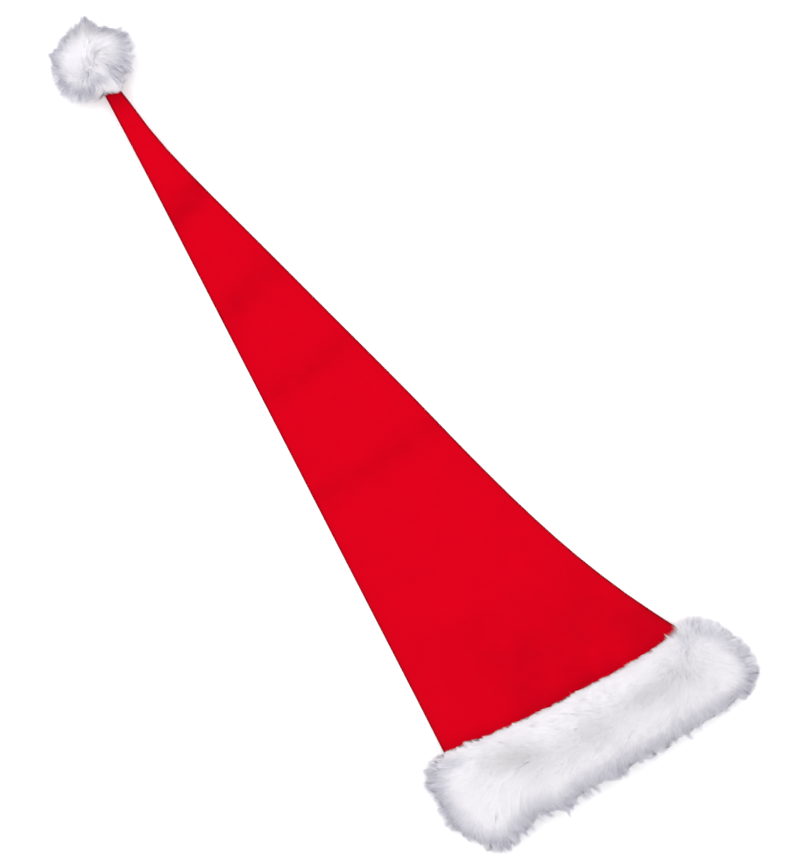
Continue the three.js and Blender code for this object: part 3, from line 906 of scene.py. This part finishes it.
    def draw_tufts(self, tufts, length, radius, share, shortest):
        """Draws the strands behind each tuft out to its tip by their share, the middle ones furthest."""
        spots, ways = tufts
        gaps = np.linalg.norm(self.places[:, None, :2] - (spots - ways * length)[None, :, :], axis=2)
        nearest = gaps.argmin(axis=1)
        way = ways[nearest]
        across = np.stack([-way[:, 1], way[:, 0]], axis=1)
        aside = ((self.places[:, :2] - spots[nearest]) * across).sum(axis=1)
        ahead = ((spots[nearest] - self.tips[:, :2]) * way).sum(axis=1)
        share = share * smooth_step(*self.TUFT_ASIDE, np.abs(aside) / radius)
        share = share * smooth_step(*self.TUFT_BEHIND, gaps.min(axis=1) / length)
        least, most = self.TUFT_PULL
        ahead = np.clip(ahead, least * length, most * length) * self.rng.uniform(shortest, 1.0, len(ahead))
        self.tips[:, :2] += way * (ahead * share)[:, None]
        self.tips[:, :2] -= across * (self.TUFT_CLOSING * aside * share)[:, None]
        self.tip_normals += ((0, 0, 1) - self.tip_normals) * (self.TUFT_FLATNESS * share)[:, None]

    def finish(self, name, width):
        """Makes the piece, which goes with the hat."""
        material = bpy.data.materials.get("acrylic_long_pile_plush") or plush_pile()
        piece = new_piece(name, strand_mesh(name, self, width), material)
        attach(piece, "root")


def strand_template():
    """One strand, flat and pointed, as shares along and across with its faces."""
    strip = bmesh.new()
    bmesh.ops.create_grid(strip, x_segments=1, y_segments=2, size=0.5)
    point = [vert for vert in strip.verts if vert.co.y > 0.49]
    bmesh.ops.pointmerge(strip, verts=point, merge_co=(0, 0.5, 0))
    strip.verts.index_update()
    along = np.array([vert.co.y + 0.5 for vert in strip.verts])
    across = np.array([vert.co.x for vert in strip.verts])
    faces = [[vert.index for vert in face.verts] for face in strip.faces]
    strip.free()
    return along, across, faces


def strand_mesh(name, pile, width):
    """All the strands of a piece as one mesh: each a bent, tapering ribbon with its own twist. They are
    shaded mostly as the surface of the pile, which looks soft."""
    along, across, faces = strand_template()
    count, size = len(pile.roots), len(along)
    share = along[None, :, None]
    roots, mids, tips = pile.roots[:, None, :], pile.mids[:, None, :], pile.tips[:, None, :]
    spine = (1 - share) ** 2 * roots + 2 * share * (1 - share) * mids + share ** 2 * tips
    run = unit(2 * (1 - share) * (mids - roots) + 2 * share * (tips - mids))
    facing = (pile.normals - STRAND_TILT * pile.lean)[:, None, :]
    side = unit(np.cross(run, np.broadcast_to(facing, run.shape)))
    twist = np.clip(pile.rng.normal(0, TWIST_SPREAD, count), -TWIST_MOST, TWIST_MOST)[:, None, None]
    side = side * np.cos(twist) + np.cross(run, side) * np.sin(twist)
    taper = 1 - STRAND_TAPER * along[None, :] ** TAPER_POWER
    breadth = width * pile.rng.uniform(*STRAND_WIDTHS, count)[:, None] * taper
    points = spine + side * (across[None, :] * breadth)[:, :, None]
    points[:, :, 2] = np.maximum(points[:, :, 2], STRAND_FLOOR)
    surface = pile.normals[:, None, :] * (1 - share) + pile.tip_normals[:, None, :] * share
    shaded = np.cross(side, run) * (1 - SOFTNESS) + surface * SOFTNESS + np.array((0, 0, GLOW))

    mesh = bpy.data.meshes.new(name)
    corners = np.concatenate([np.array(face) for face in faces])
    lengths = np.array([len(face) for face in faces])
    offsets = (np.arange(count) * size)[:, None]
    loops = (corners[None, :] + offsets).ravel()
    starts = np.concatenate([[0], np.cumsum(np.tile(lengths, count))[:-1]])
    mesh.vertices.add(count * size)
    mesh.vertices.foreach_set("co", points.astype(np.float32).ravel())
    mesh.loops.add(len(loops))
    mesh.loops.foreach_set("vertex_index", loops.astype(np.int32))
    mesh.polygons.add(count * len(faces))
    mesh.polygons.foreach_set("loop_start", starts.astype(np.int32))
    mesh.update(calc_edges=True)
    mesh.normals_split_custom_set_from_vertices(unit(shaded.reshape(-1, 3)))
    mesh.attributes.new("along", "FLOAT", "POINT").data.foreach_set("value", np.tile(along, count))
    # The tone carries random tone and the painted fringe shade; the other attribute the painted hollow
    # shade.
    for attribute, values in (("tone", pile.tones), ("painted_shade", pile.painted_shade)):
        values = np.repeat(np.clip(values, 0, 1), size)
        mesh.attributes.new(attribute, "FLOAT", "POINT").data.foreach_set("value", values)
    return mesh


class HAT_OT_cuff_backing(bpy.types.Operator):
    """Makes the knitted ground of the cuff, under its pile"""

    bl_idname = "hat.cuff_backing"
    bl_label = "Cuff backing"

    def execute(self, context):
        ground = PileGround("fur_band", context.scene.plush.depth, draw_in_cuff)
        piece = new_piece("cuff_backing", ground.backing("cuff_backing"), knitted_backing())
        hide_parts("fur_band")
        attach(piece, "root")
        return {"FINISHED"}


class HAT_OT_cuff_pile(bpy.types.Operator):
    """Makes the cuff's pile: three parts of the outside, the inside and the underside"""

    bl_idname = "hat.cuff_pile"
    bl_label = "Cuff pile"

    def execute(self, context):
        settings = context.scene.plush
        rng = np.random.default_rng(CUFF_SEED)
        ground = PileGround("fur_band", settings.depth, draw_in_cuff)
        outside = np.isinf(ground.clearance)
        under = outside & (ground.facing[:, 2] < UNDER_SLOPE) & (ground.middles[:, 2] < UNDER_HEIGHT)
        inside = (ground.clearance > HEAD_ROOM) & ~outside
        over = outside & ~under
        rim = [spot for spot in ground.outline(RIM_STEP) if not over_cloth(spot)]
        spikes = ground.spikes(rim, settings.spike_spacing, settings.spike, rng)
        for name, chosen in zip(CUFF_PARTS, self.split(ground, over, len(CUFF_PARTS))):
            pile = Pile(ground, chosen, settings.strands, rng)
            ways, agreement = comb_field(pile.places, CUFF_COMB, CUFF_ORIGIN, CUFF_COMB_REACH)
            self.dress(pile, ways, agreement, rim, spikes, settings)
            pile.finish(name, settings.width)
        for name, chosen, count in (("cuff_pile_inside", inside, settings.inside_strands),
                                    ("cuff_pile_underside", under, settings.under_strands)):
            pile = Pile(ground, chosen, count, rng)
            pile.comb(np.tile((0.0, -1.0, 0.0), (count, 1)), np.zeros(count))
            pile.lay(np.full(count, settings.hidden_reach), HIDDEN_LIFT)
            pile.bend()
            pile.gather(settings.wisp_spacing, HIDDEN_WISP_GATHER, np.zeros(count), np.zeros(count))
            pile.finish(name, settings.width)
        return {"FINISHED"}

    def split(self, ground, chosen, parts):
        """Parts of the chosen triangles of like area, from the folded edge to the sewn one."""
        order = np.argsort(ground.middles[:, 0])
        areas = np.where(chosen, ground.areas, 0)[order]
        share = np.empty(len(order))
        share[order] = (np.cumsum(areas) - areas / 2) / areas.sum()
        return [chosen & (np.floor(share * parts) == part) for part in range(parts)]

    def dress(self, pile, ways, agreement, rim, spikes, settings):
        """Lays the outer pile: smooth on top, loose at the comb's parting, spiky along the outline and
        running over the cloth."""
        x, y = pile.places[:, 0] - FOLD_X, pile.places[:, 1] - FUR_LINE_Y
        corner_x, corner_y, corner_size = np.array(CUFF_CORNER) * MM
        corner = np.exp(-((x - corner_x) ** 2 + (y - corner_y) ** 2) / corner_size ** 2)
        lip = smooth_step(*LIP_ZONE, y) * (x > 0) * (x < CLOTH_WIDTH)
        narrow = smooth_step(*NARROW_X, x) * smooth_step(*NARROW_Y, y)
        ends = smooth_step(*FOLD_END, x) + smooth_step(*SEAM_END, x)
        width = settings.fringe * (1 - NARROWING * narrow)
        covers = np.maximum(lip, corner)
        fringe = smooth_step(*FRINGE_ZONE, plan_distances(pile.places, rim) / width) * (1 - covers)
        side = smooth_step(*CUFF_SIDES, pile.normals[:, 2]) * (1 - lip)
        parting = smooth_step(*CUFF_PARTING, agreement)
        apart = smooth_step(*APART_ZONE, agreement)
        pile.comb(ways, CUFF_LOOSE * parting)
        pile.lay(np.full(len(x), settings.reach), CUFF_LIFT)
        pile.stand_up(CUFF_PARTED * parting, CUFF_PARTED_RECESS)
        standing = np.maximum(SIDE_STANDING * side, FRINGE_STANDING * fringe)
        pile.stand_up(standing, settings.recess * (1 + END_RECESS * ends))
        line = FUR_LINE_Y - LIP_BACK - LIP_BOW * np.sin(math.pi * x / CLOTH_WIDTH)
        pile.run_on(lip, line, LIP_RAGGED, LIP_DROP)
        tufts = read_headings(CUFF_TUFTS, CUFF_ORIGIN)
        wisps = read_headings(CUFF_WISPS, CUFF_ORIGIN)
        pile.draw_tufts(tufts, TUFT_LENGTH, TUFT_RADIUS, fringe, BLUNT)
        pile.draw_tufts(wisps, WISP_LENGTH, WISP_RADIUS, covers, BLUNT)
        pile.bend()
        pile.gather(settings.tuft_spacing, CUFF_TUFT_GATHER, fringe, apart)
        pile.gather(settings.wisp_spacing, CUFF_WISP_GATHER, fringe, apart)
        joining = pile.joining(np.maximum(side, fringe))
        pile.draw_tufts(spikes, settings.recess, settings.spike_radius, joining, SHARP)
        pile.draw_tufts(tufts, TUFT_LENGTH, TUFT_POINT, joining, SHARP)
        # Painted shade on the fringe along the rim and in the hollows.
        pile.shade_rim(rim, RIM_SHADE * width, FRINGE_SHADE * (1 - covers) * (1 - PALENESS * narrow))
        pile.paint_hollow_shade(CUFF_HOLLOWS, CUFF_ORIGIN)


class HAT_OT_pompom(bpy.types.Operator):
    """Makes the pompom: its core and its pile"""

    bl_idname = "hat.pompom"
    bl_label = "Pompom"

    def execute(self, context):
        settings = context.scene.pompom
        rng = np.random.default_rng(POMPOM_SEED)
        low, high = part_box("pompom")
        self.middle = (low + high) / 2
        ground = PileGround("pompom", settings.depth, self.fit_outline)
        pile = Pile(ground, np.isinf(ground.clearance), settings.strands, rng)
        middle = (self.middle.x, self.middle.y)
        ways, agreement = comb_field(pile.places, POMPOM_COMB, middle, POMPOM_COMB_REACH)
        offset = pile.places - np.array(self.middle)
        heading = np.degrees(np.arctan2(offset[:, 1], offset[:, 0])) % 360
        lip = smooth_step(*POMPOM_LIP_TURN, np.abs(heading - POMPOM_CLOTH))
        lip *= smooth_step(*POMPOM_LIP_REACH, np.hypot(offset[:, 0], offset[:, 1]))
        rim = ground.outline(RIM_STEP)
        fringe = smooth_step(*FRINGE_ZONE, plan_distances(pile.places, rim) / settings.fringe) * (1 - lip)
        side = smooth_step(*POMPOM_SIDES, pile.normals[:, 2]) * (1 - lip)
        parting = smooth_step(*POMPOM_PARTING, agreement)
        apart = smooth_step(*APART_ZONE, agreement)
        pile.comb(ways, POMPOM_LOOSE * parting)
        lift = POMPOM_LIFT + POMPOM_LIP_LIFT * lip
        pile.lay(np.full(settings.strands, settings.reach), (lift, POMPOM_LIFT_SPREAD))
        pile.stand_up(POMPOM_PARTED * parting, POMPOM_PARTED_RECESS)
        pile.stand_up(side, settings.recess)
        pile.bend()
        pile.gather(settings.tuft_spacing, POMPOM_TUFT_GATHER, fringe, apart)
        pile.gather(settings.wisp_spacing, POMPOM_WISP_GATHER, fringe, apart)
        spikes = ground.spikes(rim, settings.spike_spacing, settings.spike, rng)
        joining = pile.joining(np.maximum(side, fringe))
        pile.draw_tufts(spikes, settings.recess, settings.spike_radius, joining, BLUNT)
        # Painted shade on the fringe along the rim and in the hollows.
        pile.shade_rim(rim, settings.fringe, POMPOM_FRINGE_SHADE * (1 - lip))
        pile.paint_hollow_shade(POMPOM_HOLLOWS, middle)
        pile.finish("pompom_pile", settings.width)
        material = bpy.data.materials.get("knitted_polyester_backing") or knitted_backing()
        core = new_piece("pompom_core", ground.backing("pompom_core"), material)
        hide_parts("pompom")
        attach(core, "root")
        return {"FINISHED"}

    def fit_outline(self, shell):
        """Draws the ball in or out to the outline of its pile."""
        headings, reaches = np.array(POMPOM_OUTLINE, float).T
        for vert in shell.verts:
            offset = vert.co - self.middle
            heading = math.degrees(math.atan2(offset.y, offset.x)) % 360
            outline = float(np.interp(heading, headings, reaches, period=360)) * MM
            flat = (offset.xy.length / max(offset.length, 1e-9)) ** POMPOM_SHOULDER
            top = POMPOM_TOP if offset.z > 0 else offset.length
            vert.co = self.middle + offset.normalized() * (outline * flat + top * (1 - flat))
        shell.normal_update()


class HAT_OT_stage(bpy.types.Operator):
    """Makes the floor, the light and the camera"""

    bl_idname = "hat.stage"
    bl_label = "Stage"

    def execute(self, context):
        scene = context.scene
        settings = scene.stage
        sheet = bmesh.new()
        bmesh.ops.create_grid(sheet, x_segments=8, y_segments=8, size=settings.floor_size / 2)
        floor = new_piece("floor", mesh_from(sheet, "floor"), seamless_paper())

        lamp = bpy.data.lights.new("overhead_softbox", "AREA")
        lamp.shape = "DISK"
        lamp.size = SOFTBOX_SIZE
        lamp.energy = settings.key_power
        softbox = bpy.data.objects.new("overhead_softbox", lamp)
        softbox.location = SOFTBOX_PLACE
        aim = Vector((0, 0, 0)) - softbox.location
        softbox.rotation_euler = aim.to_track_quat("-Z", "Y").to_euler()
        scene.collection.objects.link(softbox)

        world = bpy.data.worlds.new("white_room")
        world.use_nodes = True
        world.node_tree.nodes.clear()
        sky = add_node(world.node_tree, "ShaderNodeBackground", None,
                       {"Color": settings.air, "Strength": settings.sky})
        add_node(world.node_tree, "ShaderNodeOutputWorld", None, {"Surface": sky.outputs[0]})
        scene.world = world
        scene.view_settings.view_transform = "Standard"

        lens = bpy.data.cameras.new("camera")
        lens.lens = settings.camera_lens
        lens.sensor_width = SENSOR_WIDTH
        camera = bpy.data.objects.new("camera", lens)
        camera.location = (*CAMERA_SPOT, settings.camera_height)
        camera.rotation_euler = (0, 0, settings.camera_turn)
        scene.collection.objects.link(camera)
        scene.camera = camera
        return {"FINISHED"}


OPERATORS = (HAT_OT_stage, HAT_OT_crown_cloth, HAT_OT_cuff_backing, HAT_OT_cuff_pile, HAT_OT_pompom)
SETTINGS = {"felt": FeltSettings, "plush": PlushSettings, "pompom": PompomSettings, "stage": StageSettings}


class HAT_PT_sidebar(bpy.types.Panel):
    """Lists the hat's pieces"""

    bl_idname = "HAT_PT_sidebar"
    bl_label = "Santa hat"
    bl_space_type = "VIEW_3D"
    bl_region_type = "UI"
    bl_category = "Santa hat"

    def draw(self, context):
        for operator in OPERATORS:
            self.layout.operator(operator.bl_idname)
        for group in SETTINGS:
            box = self.layout.box()
            for field in SETTINGS[group].__annotations__:
                box.prop(getattr(context.scene, group), field)


def register():
    for group, kind in SETTINGS.items():
        bpy.utils.register_class(kind)
        setattr(bpy.types.Scene, group, bpy.props.PointerProperty(type=kind))
    for operator in OPERATORS:
        bpy.utils.register_class(operator)
    bpy.utils.register_class(HAT_PT_sidebar)


def unregister():
    bpy.utils.unregister_class(HAT_PT_sidebar)
    for operator in reversed(OPERATORS):
        bpy.utils.unregister_class(operator)
    for group, kind in SETTINGS.items():
        delattr(bpy.types.Scene, group)
        bpy.utils.unregister_class(kind)


def main():
    register()
    bpy.ops.hat.stage()
    bpy.ops.hat.crown_cloth()
    bpy.ops.hat.cuff_backing()
    bpy.ops.hat.cuff_pile()
    bpy.ops.hat.pompom()


if __name__ == "__main__":
    main()
